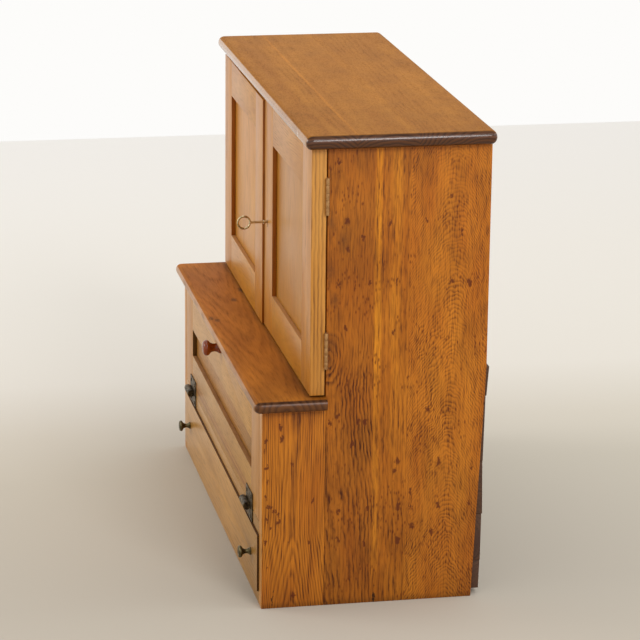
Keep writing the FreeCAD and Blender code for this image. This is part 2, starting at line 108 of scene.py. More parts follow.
studio = {
    "floorM": (-2.6, 7.0), "halfWidthM": 6.0,  # reach along X, and half the reach along Y
    # The floor's colour along X is painted light and shade: lighter far off, darker towards the camera.
    "floorLightStops": (  # metres along X: lighter towards the far side
        (-2.6, "#FFFEFC"), (-1.5, "#EFECE6"), (-0.70, "#E2DED6"), (-0.42, "#D2CCC0"), (-0.2, "#C8C2B5"),
        (0.3, "#BBB4A8")),
    "floorRough": 0.9, "floorGloss": 0.1,
    "backdrop": "#FDFCFA",  # what the camera and reflections see past the floor
    "ambient": 0.66, "ambientColour": "#FFFBF5",  # soft light from all round
}
lamps = (
    {"name": "overhead", "watts": 32.0, "sizeM": (3.6, 3.6),
     "placeM": (0.4, 0.7, 3.2), "aimM": (0.2, 0.2, 0.3)},
    {"name": "rightFill", "watts": 44.0, "sizeM": (1.2, 1.2),
     "placeM": (3.2, 0.78, 2.6), "aimM": (0.3, 0.0, 0.35)},
    {"name": "frontFill", "watts": 26.0, "sizeM": (1.2, 1.2),
     "placeM": (-0.9, -3.0, 1.5), "aimM": (0.0, 0.0, 0.35)},
    {"name": "rearFill", "watts": 14.0, "sizeM": (2.0, 2.0),
     "placeM": (0.6, 2.8, 2.2), "aimM": (0.0, 0.5, 0.0)},
)


def makeFloor():
    mesh = bpy.data.meshes.new("floor")
    (far, near), half = studio["floorM"], studio["halfWidthM"]
    corners = [(far, -half, 0), (near, -half, 0), (near, half, 0), (far, half, 0)]
    mesh.from_pydata(corners, [], [(0, 1, 2, 3)])
    floor = bpy.data.objects.new("floor", mesh)
    scene.collection.objects.link(floor)
    material, tree, shader = newMaterial("paleFloor")  # matt pale floor with hardly any shine
    place = addNode(tree, "SeparateXYZ", {0: addNode(tree, "TexCoord")["Object"]})
    last = studio["floorLightStops"][-1][0]
    # painted light and shade: the floor's colour changes along X
    share = addNode(tree, "MapRange", {"Value": place["X"], "From Min": far, "From Max": last})[0]
    stops = [((metres - far) / (last - far), linear(colour)) for metres, colour in studio["floorLightStops"]]
    colour = addNode(tree, "ValToRGB", {0: share}, stops)[0]
    tree.links.new(colour, shader["Base Color"])
    shader["Roughness"].default_value = studio["floorRough"]
    shader["Specular IOR Level"].default_value = studio["floorGloss"]
    mesh.materials.append(material)


def makeWorld():  # the camera and reflections see the backdrop, and plain surfaces get the soft light
    world = bpy.data.worlds.new("studio")
    scene.world = world
    world.use_nodes = True
    tree = world.node_tree
    tree.nodes.clear()
    rays = addNode(tree, "LightPath")
    shown = rays["Is Camera Ray"]
    for kind in ("Is Glossy Ray", "Is Transmission Ray"):
        shown = addNode(tree, "Math", {0: shown, 1: rays[kind]}, operation="MAXIMUM")[0]
    soft = addNode(tree, "Background", {0: linear(studio["ambientColour"]), 1: studio["ambient"]})[0]
    white = addNode(tree, "Background", {0: linear(studio["backdrop"]), 1: 1.0})[0]
    mixed = addNode(tree, "MixShader", {0: shown, 1: soft, 2: white})[0]
    addNode(tree, "OutputWorld", {0: mixed})


def makeLamp(lamp):
    data = bpy.data.lights.new(lamp["name"], "AREA")
    data.shape = "RECTANGLE"
    data.size, data.size_y = lamp["sizeM"]
    data.energy = lamp["watts"]
    light = bpy.data.objects.new(lamp["name"], data)
    light.location = lamp["placeM"]
    aim = Vector(lamp["aimM"]) - Vector(lamp["placeM"])
    light.rotation_euler = aim.to_track_quat("-Z", "Y").to_euler()
    scene.collection.objects.link(light)


makeFloor()
makeWorld()
for lamp in lamps:
    makeLamp(lamp)
print("studio made")

# Oak is drawn as rings about a pith line in a tapered trunk, so that faces, edges and ends agree.
plainBoard = {  # one of the boards that are glued into a face: lengths in mm
    "from": -400,  # where it starts across the face
    "pith": 0,  # the trunk's middle, across the face
    "lean": 0.0,  # how far the pith moves across for each mm away from the eye
    "depth": 40,  # how deep the pith lies away from the eye
    "eye": 9000,  # where along the board the pith comes to the face
    "taper": 0.0,  # growth of the rings' radius for each mm along
    "taperEnd": 9000,  # where along the board the taper stops
    "ring": 4.5,  # width of a ring
    "ripple": 1.6,  # how far a ring waves in and out
    "contrast": 0.5,  # weight of the dark ring lines
    "calmFrom": 9000,  # where along the board the lines start to go faint
    "tone": (1.0, 1.0, 1.0),  # multiplies the wood's colour
}
varnishedOak = {  # a look also names its axes: across the boards, into them and along them
    "honey": "#BF7718", "amber": "#A96010",  # the wood's two colours, in drifting patches
    "pore": "#552709", "speck": "#3A1A0A",  # varnish gone dark in pores and pits
    "end": "#4C2C14", "endLine": "#321A0A",  # end grain and its ring lines
    "endMm": None,  # how far from the middle the end grain starts, and where it is full
    "seedMm": (0, 0, 0),  # moves the noise, so that boards differ
    "faceMm": 0,  # the face's place on the axis into the boards
    "wanderMm": 14, "rippleMm": (22, 9), "eyeMm": 40,  # drift of the rings, size of a wave, run of an eye
    "poreMm": (24, 1.7), "poreWeight": 0.24,  # length and width of a pore, drawn coarser than real to show
    "fade": 0.35,  # weight of the lines where they are faintest
    "blotch": 0.0, "blotchMm": (70, 30),  # how much darker a patch of varnish is, and its length and width
    "stripes": (),  # (middle across, half width, tint, (faint, full) along)
    "shades": (),  # (axis, start, full, share of the light that is lost)
    "specks": None, "speckRows": (),  # (mm apart, share kept), and rows of (middle along, half width, gain)
    "marks": (),
    "rough": (0.34, 0.5), "gloss": 0.5, "bump": 0.25,  # roughness of clear wood and of pores, shine, relief
}


def byBoard(wood, key):  # a value that changes from board to board across the face
    result = wood.boards[0][key]
    kind, first, out = ("VECTOR", 4, 1) if isinstance(result, tuple) else ("FLOAT", 2, 0)
    if any(board[key] != result for board in wood.boards):
        for step, board in zip(wood.steps, wood.boards[1:]):
            links = {0: step, first: result, first + 1: board[key]}
            result = addNode(wood.tree, "Mix", links, data_type=kind)[out]
    return result


def cloud(wood, lengthMm, widthMm, detail=2.0):  # noise drawn out along the grain
    scale = [1 / widthMm] * 3
    scale["XYZ".index(wood.look["axes"][2])] = 1 / lengthMm
    stretched = addNode(wood.tree, "VectorMath", {0: wood.seeded, 1: scale}, operation="MULTIPLY")[0]
    return addNode(wood.tree, "TexNoise", {"Vector": stretched, "Scale": 1.0, "Detail": detail})


driftCloud = (240, 48, 1.5)  # length and width in mm, and detail


def startWood(name, look):
    material, tree, shader = newMaterial(name)
    place = addNode(tree, "TexCoord")["Object"]
    mm = addNode(tree, "VectorMath", {0: place, "Scale": mmPerMetre}, operation="SCALE")[0]
    axes = addNode(tree, "SeparateXYZ", {0: mm})
    across, deep, along = (axes[letter] for letter in look["axes"])
    boards = [dict(plainBoard, **board) for board in look["boards"]]
    wood = SimpleNamespace(material=material, tree=tree, shader=shader, look=look, axes=axes,
                           across=across, deep=deep, along=along, boards=boards)
    wood.seeded = addNode(tree, "VectorMath", {0: mm, 1: look["seedMm"]}, operation="ADD")[0]
    wood.steps = [addNode(tree, "Math", {0: across, 1: board["from"]}, operation="GREATER_THAN")[0]
                  for board in boards[1:]]
    wood.drift = addNode(tree, "MapRange", {
        "Value": cloud(wood, *driftCloud)[0], "To Min": -look["wanderMm"], "To Max": look["wanderMm"]})[0]
    return wood


# Across one ring, as (share of its width, darkness): open early wood, then plain late wood.
ringShades = ((0, 0.7), (0.10, 1), (0.34, 0.55), (0.55, 0.05), (0.86, 0), (1, 0.7))


def growthRings(wood):
    tree, look = wood.tree, wood.look
    ripple = addNode(tree, "MapRange", {
        "Value": cloud(wood, *look["rippleMm"])[0], "To Min": -1.0, "To Max": 1.0})[0]
    ripple = addNode(tree, "Math", {0: ripple, 1: byBoard(wood, "ripple")}, operation="MULTIPLY")[0]
    reach = addNode(tree, "Math", {0: wood.along, 1: byBoard(wood, "eye")}, operation="SUBTRACT")[0]
    reach = addNode(tree, "Math", {0: reach}, operation="ABSOLUTE")[0]
    pith = addNode(tree, "Math", {
        0: reach, 1: byBoard(wood, "lean"), 2: byBoard(wood, "pith")}, operation="MULTIPLY_ADD")[0]
    offset = addNode(tree, "Math", {0: wood.across, 1: pith}, operation="SUBTRACT")[0]
    offset = addNode(tree, "Math", {0: offset, 1: wood.drift}, operation="ADD")[0]
    rise = addNode(tree, "MapRange", {
        "Value": reach, "From Max": look["eyeMm"], "To Max": byBoard(wood, "depth")})[0]
    inward = addNode(tree, "Math", {0: wood.deep, 1: look["faceMm"]}, operation="SUBTRACT")[0]
    depth = addNode(tree, "Math", {0: rise, 1: inward}, operation="ADD")[0]
    spot = addNode(tree, "CombineXYZ", {0: offset, 1: depth})[0]
    radius = addNode(tree, "VectorMath", {0: spot}, operation="LENGTH")["Value"]
    height = addNode(tree, "Math", {0: wood.along, 1: byBoard(wood, "taperEnd")}, operation="MINIMUM")[0]
    radius = addNode(tree, "Math", {
        0: height, 1: byBoard(wood, "taper"), 2: radius}, operation="MULTIPLY_ADD")[0]
    radius = addNode(tree, "Math", {0: radius, 1: ripple}, operation="ADD")[0]
    turns = addNode(tree, "Math", {0: radius, 1: byBoard(wood, "ring")}, operation="DIVIDE")[0]
    ring = addNode(tree, "Math", {0: turns}, operation="FRACT")[0]
    stops = [(place, (dark, dark, dark, 1)) for place, dark in ringShades]
    return addNode(tree, "ValToRGB", {0: ring}, stops)[0]


grainShape = {
    "poreLimits": (0.46, 0.64),  # noise that is clear wood, and noise that is open pore
    "inPores": 0.4, "even": 0.6,  # shares of a ring line that follow the pores and that don't
    "calmRunMm": 70.0, "calmLeft": 0.3,  # run over which lines go faint, and what is left of them
    "fadeCloud": (60, 24), "fadeLimits": (0.36, 0.62), "fadeMost": 1.2,  # lines come and go along a board
}


def poresAndLines(wood, earlyWood):
    tree, look = wood.tree, wood.look
    low, high = grainShape["poreLimits"]
    pores = addNode(tree, "MapRange", {
        "Value": cloud(wood, *look["poreMm"])[0], "From Min": low, "From Max": high})[0]
    lines = addNode(tree, "Math", {
        0: pores, 1: grainShape["inPores"], 2: grainShape["even"]}, operation="MULTIPLY_ADD")[0]
    calm = addNode(tree, "Math", {0: wood.along, 1: byBoard(wood, "calmFrom")}, operation="SUBTRACT")[0]
    calm = addNode(tree, "MapRange", {
        "Value": calm, "From Max": grainShape["calmRunMm"], "To Min": 1.0,
        "To Max": grainShape["calmLeft"]})[0]
    low, high = grainShape["fadeLimits"]
    fade = addNode(tree, "MapRange", {
        "Value": cloud(wood, *grainShape["fadeCloud"])[0], "From Min": low, "From Max": high,
        "To Min": look["fade"], "To Max": grainShape["fadeMost"]})[0]
    for weight in (earlyWood, byBoard(wood, "contrast"), calm, fade):
        lines = addNode(tree, "Math", {0: lines, 1: weight}, operation="MULTIPLY")[0]
    return addNode(tree, "Math", {
        0: pores, 1: look["poreWeight"], 2: lines}, operation="MULTIPLY_ADD", use_clamp=True)[0]


patchShape = {"cloud": (130, 34, 3), "limits": (0.3, 0.7)}  # where amber turns to honey


def plainColour(wood, grain):
    tree, look = wood.tree, wood.look
    low, high = patchShape["limits"]
    patch = addNode(tree, "MapRange", {
        "Value": cloud(wood, *patchShape["cloud"])[0], "From Min": low, "From Max": high})[0]
    colour = addNode(tree, "Mix", {
        0: patch, 6: linear(look["amber"]), 7: linear(look["honey"])}, data_type="RGBA")[2]
    colour = addNode(tree, "Mix", {0: grain, 6: colour, 7: linear(look["pore"])}, data_type="RGBA")[2]
    return addNode(tree, "VectorMath", {0: colour, 1: byBoard(wood, "tone")}, operation="MULTIPLY")[0]


blotchLimits = (0.42, 0.68)  # noise where a patch starts, and where it is darkest


def addBlotches(wood, colour):  # patches of darker varnish, a few centimetres across
    tree, look = wood.tree, wood.look
    if not look["blotch"]:
        return colour
    low, high = blotchLimits
    light = addNode(tree, "MapRange", {
        "Value": cloud(wood, *look["blotchMm"])[0], "From Min": low, "From Max": high, "To Min": 1.0,
        "To Max": 1.0 - look["blotch"]})[0]
    return addNode(tree, "VectorMath", {0: colour, "Scale": light}, operation="SCALE")[0]


stripeShape = {
    "drift": 0.10,  # share of the rings' drift that a stripe follows
    "core": 0.4,  # share of its width that has the full tint
    "faint": 0.35,  # share of the tint where the stripe is faint
}


def addStripes(wood, colour):  # lighter or darker runs of wood, as beside a glue line
    tree = wood.tree
    for middle, half, tint, (faint, full) in wood.look["stripes"]:
        apart = addNode(tree, "Math", {0: wood.across, 1: middle}, operation="SUBTRACT")[0]
        apart = addNode(tree, "Math", {
            0: wood.drift, 1: stripeShape["drift"], 2: apart}, operation="MULTIPLY_ADD")[0]
        apart = addNode(tree, "Math", {0: apart}, operation="ABSOLUTE")[0]
        share = addNode(tree, "MapRange", {
            "Value": apart, "From Min": half, "From Max": half * stripeShape["core"]},
            interpolation_type="SMOOTHSTEP")[0]
        there = addNode(tree, "MapRange", {
            "Value": wood.along, "From Min": faint, "From Max": full, "To Min": stripeShape["faint"]})[0]
        share = addNode(tree, "Math", {0: share, 1: there}, operation="MULTIPLY")[0]
        lift = addNode(tree, "Mix", {0: share, 4: (1, 1, 1), 5: tint}, data_type="VECTOR")[1]
        colour = addNode(tree, "VectorMath", {0: colour, 1: lift}, operation="MULTIPLY")[0]
    return colour


def addShades(wood, colour):  # darkening towards an edge or an end: painted shade on the sides, by the doors on the step and down the fall front
    tree = wood.tree
    for letter, start, full, amount in wood.look["shades"]:
        light = addNode(tree, "MapRange", {
            "Value": wood.axes[letter], "From Min": start, "From Max": full, "To Min": 1.0,
            "To Max": 1.0 - amount}, interpolation_type="SMOOTHSTEP")[0]
        colour = addNode(tree, "VectorMath", {0: colour, "Scale": light}, operation="SCALE")[0]
    return colour


speckShape = {
    "squash": 0.42,  # the pattern's scale along Z over its scale across, which draws the specks out upwards
    "rimAndCore": (0.36, 0.10), "weight": 0.8,  # shares of the spacing from a speck's middle
    "crowdCloud": (40, 52), "crowdLimits": (0.52, 0.58), "rowCore": 0.5,  # specks keep together in crowds
}


def addSpecks(wood, colour):  # pits and dark flecks, a millimetre or two wide
    tree, look = wood.tree, wood.look
    if not look["specks"]:
        return colour
    spacingMm, kept = look["specks"]
    scale = (1 / spacingMm, 1 / spacingMm, speckShape["squash"] / spacingMm)
    scaled = addNode(tree, "VectorMath", {0: wood.seeded, 1: scale}, operation="MULTIPLY")[0]
    cells = addNode(tree, "TexVoronoi", {"Vector": scaled, "Scale": 1.0})
    rim, core = speckShape["rimAndCore"]
    dot = addNode(tree, "MapRange", {
        "Value": cells["Distance"], "From Min": rim, "From Max": core, "To Max": speckShape["weight"]})[0]
    crowd = cloud(wood, *speckShape["crowdCloud"])[0]
    for middle, half, gain in look["speckRows"]:
        apart = addNode(tree, "Math", {0: wood.along, 1: middle}, operation="SUBTRACT")[0]
        apart = addNode(tree, "Math", {0: apart}, operation="ABSOLUTE")[0]
        lift = addNode(tree, "MapRange", {
            "Value": apart, "From Min": half, "From Max": half * speckShape["rowCore"], "To Max": gain})[0]
        crowd = addNode(tree, "Math", {0: crowd, 1: lift}, operation="ADD")[0]
    low, high = speckShape["crowdLimits"]
    crowd = addNode(tree, "MapRange", {"Value": crowd, "From Min": low, "From Max": high})[0]
    chance = addNode(tree, "SeparateColor", {0: cells["Color"]})[0]
    chosen = addNode(tree, "Math", {0: chance, 1: kept}, operation="LESS_THAN")[0]
    for share in (crowd, chosen):
        dot = addNode(tree, "Math", {0: dot, 1: share}, operation="MULTIPLY")[0]
    return addNode(tree, "Mix", {0: dot, 6: colour, 7: linear(look["speck"])}, data_type="RGBA")[2]


markShape = {  # a mark's outline is shifted by a small cloud, so that none is a clean round
    "cloud": (7, 4, 3), "cloudMiddle": (0.5, 0.5, 0.5), "shiftMm": (11, 11, 0),
    "edge": 0.85,  # share of the radius where a mark is half as dark
}


def addMarks(wood, colour):
    tree = wood.tree
    for mark in wood.look["marks"]:
        shift = cloud(wood, *markShape["cloud"])[1]
        shift = addNode(tree, "VectorMath", {0: shift, 1: markShape["cloudMiddle"]}, operation="SUBTRACT")[0]
        flat = addNode(tree, "CombineXYZ", {0: wood.across, 1: wood.along})[0]
        squash = (1, 1 / mark["stretch"], 0)
        flat = addNode(tree, "VectorMath", {0: flat, 1: squash}, operation="MULTIPLY")[0]
        flat = addNode(tree, "VectorMath", {
            0: shift, 1: markShape["shiftMm"], 2: flat}, operation="MULTIPLY_ADD")[0]
        stain = 0.0
        for side, up, radius in mark["placesMm"]:
            middle = (side, up / mark["stretch"], 0)
            apart = addNode(tree, "VectorMath", {0: flat, 1: middle}, operation="DISTANCE")["Value"]
            outer = radius * (markShape["edge"] + mark["soft"])
            inner = radius * (markShape["edge"] - mark["soft"])
            dark = addNode(tree, "MapRange", {
                "Value": apart, "From Min": outer, "From Max": inner, "To Max": mark["weight"]})[0]
            stain = addNode(tree, "Math", {0: stain, 1: dark}, operation="MAXIMUM")[0]
        colour = addNode(tree, "Mix", {0: stain, 6: colour, 7: linear(mark["colour"])}, data_type="RGBA")[2]
    return colour


def addEnds(wood, colour, earlyWood):  # end grain drinks the stain and goes dark
    tree, look = wood.tree, wood.look
    if not look["endMm"]:
        return colour
    start, full = look["endMm"]
    reach = addNode(tree, "Math", {0: wood.along}, operation="ABSOLUTE")[0]
    share = addNode(tree, "MapRange", {"Value": reach, "From Min": start, "From Max": full})[0]
    dark = addNode(tree, "Mix", {
        0: earlyWood, 6: linear(look["end"]), 7: linear(look["endLine"])}, data_type="RGBA")[2]
    return addNode(tree, "Mix", {0: share, 6: colour, 7: dark}, data_type="RGBA")[2]


varnishCoat = {"ior": 1.5, "poreDepthMm": 0.4}


def addVarnish(wood, colour, grain):
    tree, look, shader = wood.tree, wood.look, wood.shader
    clear, inPores = look["rough"]
    rough = addNode(tree, "MapRange", {"Value": grain, "To Min": clear, "To Max": inPores})[0]
    height = addNode(tree, "Math", {0: 1.0, 1: grain}, operation="SUBTRACT")[0]
    depth = varnishCoat["poreDepthMm"] / mmPerMetre
    bump = addNode(tree, "Bump", {"Strength": look["bump"], "Distance": depth, "Height": height})[0]
    for output, title in ((colour, "Base Color"), (rough, "Roughness"), (bump, "Normal")):
        tree.links.new(output, shader[title])
    shader["IOR"].default_value = varnishCoat["ior"]
    shader["Specular IOR Level"].default_value = look["gloss"]


def makeWood(name, look):
    wood = startWood(name, look)
    earlyWood = growthRings(wood)
    grain = poresAndLines(wood, earlyWood)
    colour = plainColour(wood, grain)
    for addWear in (addBlotches, addStripes, addShades, addSpecks, addMarks):
        colour = addWear(wood, colour)
    colour = addEnds(wood, colour, earlyWood)
    addVarnish(wood, colour, grain)
    return wood.material


# Marks: weight is how dark the middle is, stretch draws it out along the grain, soft blurs its edge.
bruise = {"colour": "#5E260C", "weight": 0.85, "stretch": 1.6, "soft": 0.25}  # dent filled with dark varnish
smudge = {"colour": "#4E2C18", "weight": 0.5, "stretch": 1.8, "soft": 0.8}
crack = {"colour": "#241006", "weight": 0.9, "stretch": 7.0, "soft": 0.25}
waterSpot = {"colour": "#3A2012", "weight": 0.6, "stretch": 2.2, "soft": 0.4}
paintFleck = {"colour": "#F0E6D6", "weight": 0.9, "stretch": 1.2, "soft": 0.25}

# Where they lie, as (across, along, radius) in mm.
sideBruises = (
    (-48, 135, 3.5), (-48, 93, 3.0), (34, 88, 3.8), (54, 108, 3.2), (82, 96, 2.7), (35, 137, 4.3),
    (51, 135, 2.2), (90, 136, 3.0), (52, 158, 2.7), (32, 202, 4.1), (28, 188, 3.0), (89, 197, 4.1),
    (-13, 260, 3.2), (-23, 260, 2.7), (-31, 229, 3.5), (73, 273, 2.7), (102, 273, 2.4), (-51, 268, 3.2),
    (-61, 260, 2.4), (-8, 137, 3.0), (-12, 85, 2.7), (137, 186, 2.2), (133, 136, 2.2), (-19, 515, 3.2),
    (17, 533, 2.7), (-41, 538, 3.5), (99, 567, 2.7), (66, 536, 2.0), (114, 518, 2.7), (27, 455, 3.0),
    (102, 450, 3.0), (126, 449, 3.8), (-51, 452, 3.0), (-30, 446, 2.4), (-9, 454, 2.4), (24, 383, 2.4),
    (-41, 392, 3.0), (-52, 619, 2.4), (-40, 501, 3.5))
sideSmudges = ((-62, 536, 7), (-46, 513, 7), (-60, 369, 7), (-64, 345, 6), (-56, 431, 5), (-62, 470, 6))
sideCracks = ((3, 7, 1.6),)
frontBruises = (
    (-147, 240, 2.2), (-126, 241, 3.2), (-128, 258, 2.6), (-148, 226, 1.8), (-147, 202, 2.4),
    (-146, 182, 1.8), (-148, 160, 2.2), (-143, 146, 2.8), (-136, 140, 2.2), (-131, 134, 2.6),
    (-130, 123, 3.2), (-147, 128, 2.4), (-140, 118, 2.2), (-148, 96, 1.8), (-112, 205, 1.8),
    (-83, 152, 1.8), (-88, 92, 1.6), (-109, 18, 3.2), (-145, 60, 1.8), (-117, 96, 1.6))
frontCracks = ((-138, 12, 1.5),)
stepSpots = ((-158, -48, 5), (-152, -36, 4), (-110, -140, 5), (-90, -193, 5))
noseFlecks = ((-100.5, 300, 1.6), (-100.5, 262, 1.0))

allAlong = (-401, -400)  # a stripe that is at its full tint before the board starts
matt = (0.6, 0.75)  # roughness of wood that has lost its shine

# Right side: four boards glued edge to edge, orange brown, each with its own figure, pitted and bruised.
sideOak = dict(
    varnishedOak, axes="YXZ", faceMm=350, gloss=0.25, honey="#C67C22", amber="#AE6418", blotch=0.18,
    rippleMm=(20, 14), poreMm=(22, 1.6), poreWeight=0.37, fade=0.42,
    boards=({"pith": -112, "depth": 9, "taper": 0.11, "taperEnd": 105, "ring": 3.4, "contrast": 0.9,
             "tone": (1.22, 1.18, 1.13)},
            {"from": -67, "pith": -68, "lean": 0.08, "depth": 16, "eye": 350, "ring": 4.4, "ripple": 3.0,
             "contrast": 1.0, "calmFrom": 318, "tone": (0.95, 0.87, 0.89)},
            {"from": -2, "pith": 300, "ring": 7.5, "ripple": 4.0, "contrast": 0.62,
             "tone": (1.1, 1.04, 0.97)},
            {"from": 45, "pith": 102, "depth": 15, "taper": 0.5, "ring": 3.2, "ripple": 5.0, "contrast": 0.6,
             "tone": (1.165, 1.115, 1.115)}),
    stripes=((1.5, 6.5, (1.38, 1.56, 1.3), (240, 330)), (26, 8, (1.1, 1.16, 1.08), (240, 330)),
             (38, 3.0, (0.87, 0.82, 0.78), (300, 420))),
    # Painted shade: darker towards the floor, most along the bottom edge.
    shades=(("Z", 330, 150, 0.07), ("Z", 60, 0, 0.08), ("Z", 10, 2, 0.3)),
    speck="#642808", specks=(4.2, 0.6), speckRows=((450, 16, 0.09), (262, 20, 0.06), (140, 90, 0.03)),
    marks=(dict(bruise, placesMm=sideBruises), dict(smudge, placesMm=sideSmudges),
           dict(crack, placesMm=sideCracks)))
# The side's lower front board: one calm run of long lines, bruised by its front edge.
sideFrontOak = dict(
    sideOak, fade=0.6, poreMm=(50, 1.6), blotch=0.1, rippleMm=(34, 12), specks=None, stripes=(),
    boards=(dict(sideOak["boards"][0], contrast=0.68),),
    marks=(dict(bruise, placesMm=frontBruises), dict(crack, placesMm=frontCracks)))
# Left side: the same wood from another part of the trunk, without bruises.
leftSideOak = dict(sideOak, faceMm=-350, seedMm=(900, 400, 300), marks=())
# Top board: dry and dusty brown, with short pores and next to no shine.
topOak = dict(
    varnishedOak, axes="YZX", faceMm=655, endMm=(356.5, 359.5), honey="#AC7022", amber="#9E641B",
    pore="#6A3A12", gloss=0.15, rough=matt, blotch=0.1, blotchMm=(40, 30), poreMm=(7, 1.5), poreWeight=0.28,
    stripes=((-31, 3.0, (1.24, 1.24, 1.26), allAlong), (46, 9, (1.1, 1.12, 1.14), allAlong),
             (-70, 10, (0.95, 0.93, 0.9), allAlong)),
    shades=(("X", 0, 350, 0.1),),
    boards=({"pith": -80, "depth": 60, "ring": 5.0, "contrast": 0.26},
            {"from": -31, "pith": 20, "depth": 90, "ring": 5.5, "contrast": 0.22},
            {"from": 52, "pith": 140, "depth": 70, "ring": 5.0, "contrast": 0.22}))
# Its round edge: pale with a painted sheen, and glossy, with dark end grain at the sides.
topNosingSheen = dict(
    topOak, gloss=0.48, rough=(0.11, 0.17), honey="#D0A070", amber="#C08E60",
    end="#5A3214", endLine="#3C1E0A", marks=(dict(paintFleck, placesMm=noseFlecks),))
# Step board: matt, with one wide soft figure, painted shade by the doors, and darker towards the right end.
stepOak = dict(
    varnishedOak, axes="YZX", faceMm=297, endMm=(357.5, 360), honey="#BE7422", amber="#A46016", gloss=0.12,
    rough=matt, blotch=0.12, blotchMm=(110, 26), poreWeight=0.18, wanderMm=10, fade=0.5,
    shades=(("Y", -100, -88, 0.25), ("X", 180, 330, 0.24)),
    boards=({"pith": -122, "depth": 14, "taper": 0.09, "ring": 9.0, "ripple": 2.4, "contrast": 0.34},),
    marks=(dict(waterSpot, placesMm=stepSpots),))
# Its round edge: paler with a painted sheen, and a soft shine.
stepNosingSheen = dict(
    stepOak, gloss=0.3, rough=(0.3, 0.4), honey="#C48C54", amber="#B47C46", end="#683E1C", endLine="#4E2C14")
# Door stiles: straight golden grain under a soft shine.
stileOak = dict(
    varnishedOak, axes="XYZ", faceMm=-89, honey="#D4923A", amber="#C6822C", gloss=0.45, poreWeight=0.12,
    boards=({"pith": -333, "depth": 55, "contrast": 0.34},
            {"from": 0, "pith": 333, "depth": 55, "contrast": 0.34}))
# The right door's outer edge: paler, with long clear lines.
doorEdge = dict(
    stileOak, honey="#DC9C48", amber="#CC8834", poreMm=(70, 1.7), fade=0.6,
    boards=({"pith": 340, "depth": 45, "ring": 5.0, "ripple": 1.8, "contrast": 0.62},))
# Stile edges beside the sunk panels: browner with painted shade of the recess, and darker still on the fall
# front.
recessShadeOak = dict(stileOak, honey="#A8641E", amber="#965414", gloss=0.3)
flapRecessShade = dict(stileOak, honey="#684C24", amber="#583C18", gloss=0.15)
# Door panels: golden and faintly figured, the right one browner.
panelOak = dict(
    varnishedOak, axes="XYZ", faceMm=-82, honey="#D2922E", amber="#C68426", seedMm=(300, 0, 100), gloss=0.42,
    poreWeight=0.14,
    boards=({"pith": -180, "depth": 20, "taper": 0.1, "ring": 5.5, "contrast": 0.26,
             "tone": (1.06, 1.05, 1.05)},
            {"from": 0, "pith": 175, "depth": 20, "taper": 0.1, "ring": 5.5, "contrast": 0.26,
             "tone": (0.88, 0.85, 0.73)}))
# Door rails: fine level lines in golden oak.
railOak = dict(
    varnishedOak, axes="ZYX", faceMm=-89, honey="#D0902E", amber="#C27F24", seedMm=(100, 50, 0), gloss=0.45,
    poreWeight=0.18, boards=({"pith": 720, "depth": 30, "ring": 3.6, "contrast": 0.34},))
# Frame of the fall front: honey coloured, darker downwards as painted shade, with two reddish lines in the
# bottom rail.
flapRail = dict(
    railOak, faceMm=-153, honey="#D09844", amber="#C08838", gloss=0.38, seedMm=(20, 350, 0),
    shades=(("Z", 250, 150, 0.16),),
    stripes=((131, 3.6, (0.76, 0.56, 0.44), allAlong), (139, 2.6, (0.84, 0.66, 0.54), allAlong)))
flapStile = dict(stileOak, faceMm=-153, honey="#C88C3C", amber="#BA7C30", gloss=0.42, seedMm=(0, 120, 500))
# Upper edges of the bottom rails: dull with dust.
doorLedge = dict(railOak, honey="#BC8850", amber="#AC7842", pore="#8A5A30", gloss=0.3, rough=matt)
flapLedge = dict(railOak, honey="#AA7C4E", amber="#966A3E", pore="#6A4422", gloss=0.2, rough=matt)
# The side's rear corner: varnish worn through to pale dry wood.
wornEdge = dict(sideOak, honey="#D2B084", amber="#9A6430", marks=(), specks=None, rough=matt)
# Drawer front and the boards above and below it: calm honey oak, darker to the right.
frontOak = dict(
    varnishedOak, axes="ZYX", faceMm=-153, honey="#CE9646", amber="#C0883C", seedMm=(400, 250, 0),
    rough=(0.28, 0.42), gloss=0.45, poreWeight=0.14, shades=(("X", 60, 300, 0.32),),
    boards=({"pith": 58, "depth": 30, "taper": 0.03, "ring": 5.0, "contrast": 0.26},
            {"from": 99, "pith": 300, "contrast": 0.3, "tone": (0.93, 0.92, 0.88)}))
# Panel of the fall front: a shade browner, with level lines.
flapPanel = dict(
    frontOak, honey="#BC8232", amber="#AC7228", gloss=0.34, rough=(0.36, 0.5), seedMm=(250, 80, 0),
    poreWeight=0.2, boards=({"pith": 330, "depth": 25, "ring": 5.0, "contrast": 0.5},))
# Edges in the gaps round the drawer: dark with painted shade of the gaps, and with handling and dust.
drawerEdgeShadeAndGrime = dict(frontOak, honey="#6A4018", amber="#50300F", pore="#2A1608", gloss=0.2, rough=matt)
# Back boards: old sawn wood, never varnished, dark, dry and open in the grain.
backWood = dict(
    varnishedOak, axes="ZYX", faceMm=153, honey="#5A3A22", amber="#46291A", pore="#24130B",
    seedMm=(0, 500, 70), rough=matt, bump=0.5,
    boards=({"pith": 80, "ring": 6.0}, {"from": 190, "pith": 240, "ring": 5.0, "tone": (0.9, 0.9, 0.9)},
            {"from": 330, "pith": 420, "ring": 6.0}))
# Inside pieces: bare planed wood that has stayed pale.
innerWood = dict(
    varnishedOak, axes="ZYX", honey="#C9A36C", amber="#B58B54", pore="#7C5730", rough=(0.6, 0.7),
    boards=({"pith": 700, "ring": 5.0, "contrast": 0.4},))
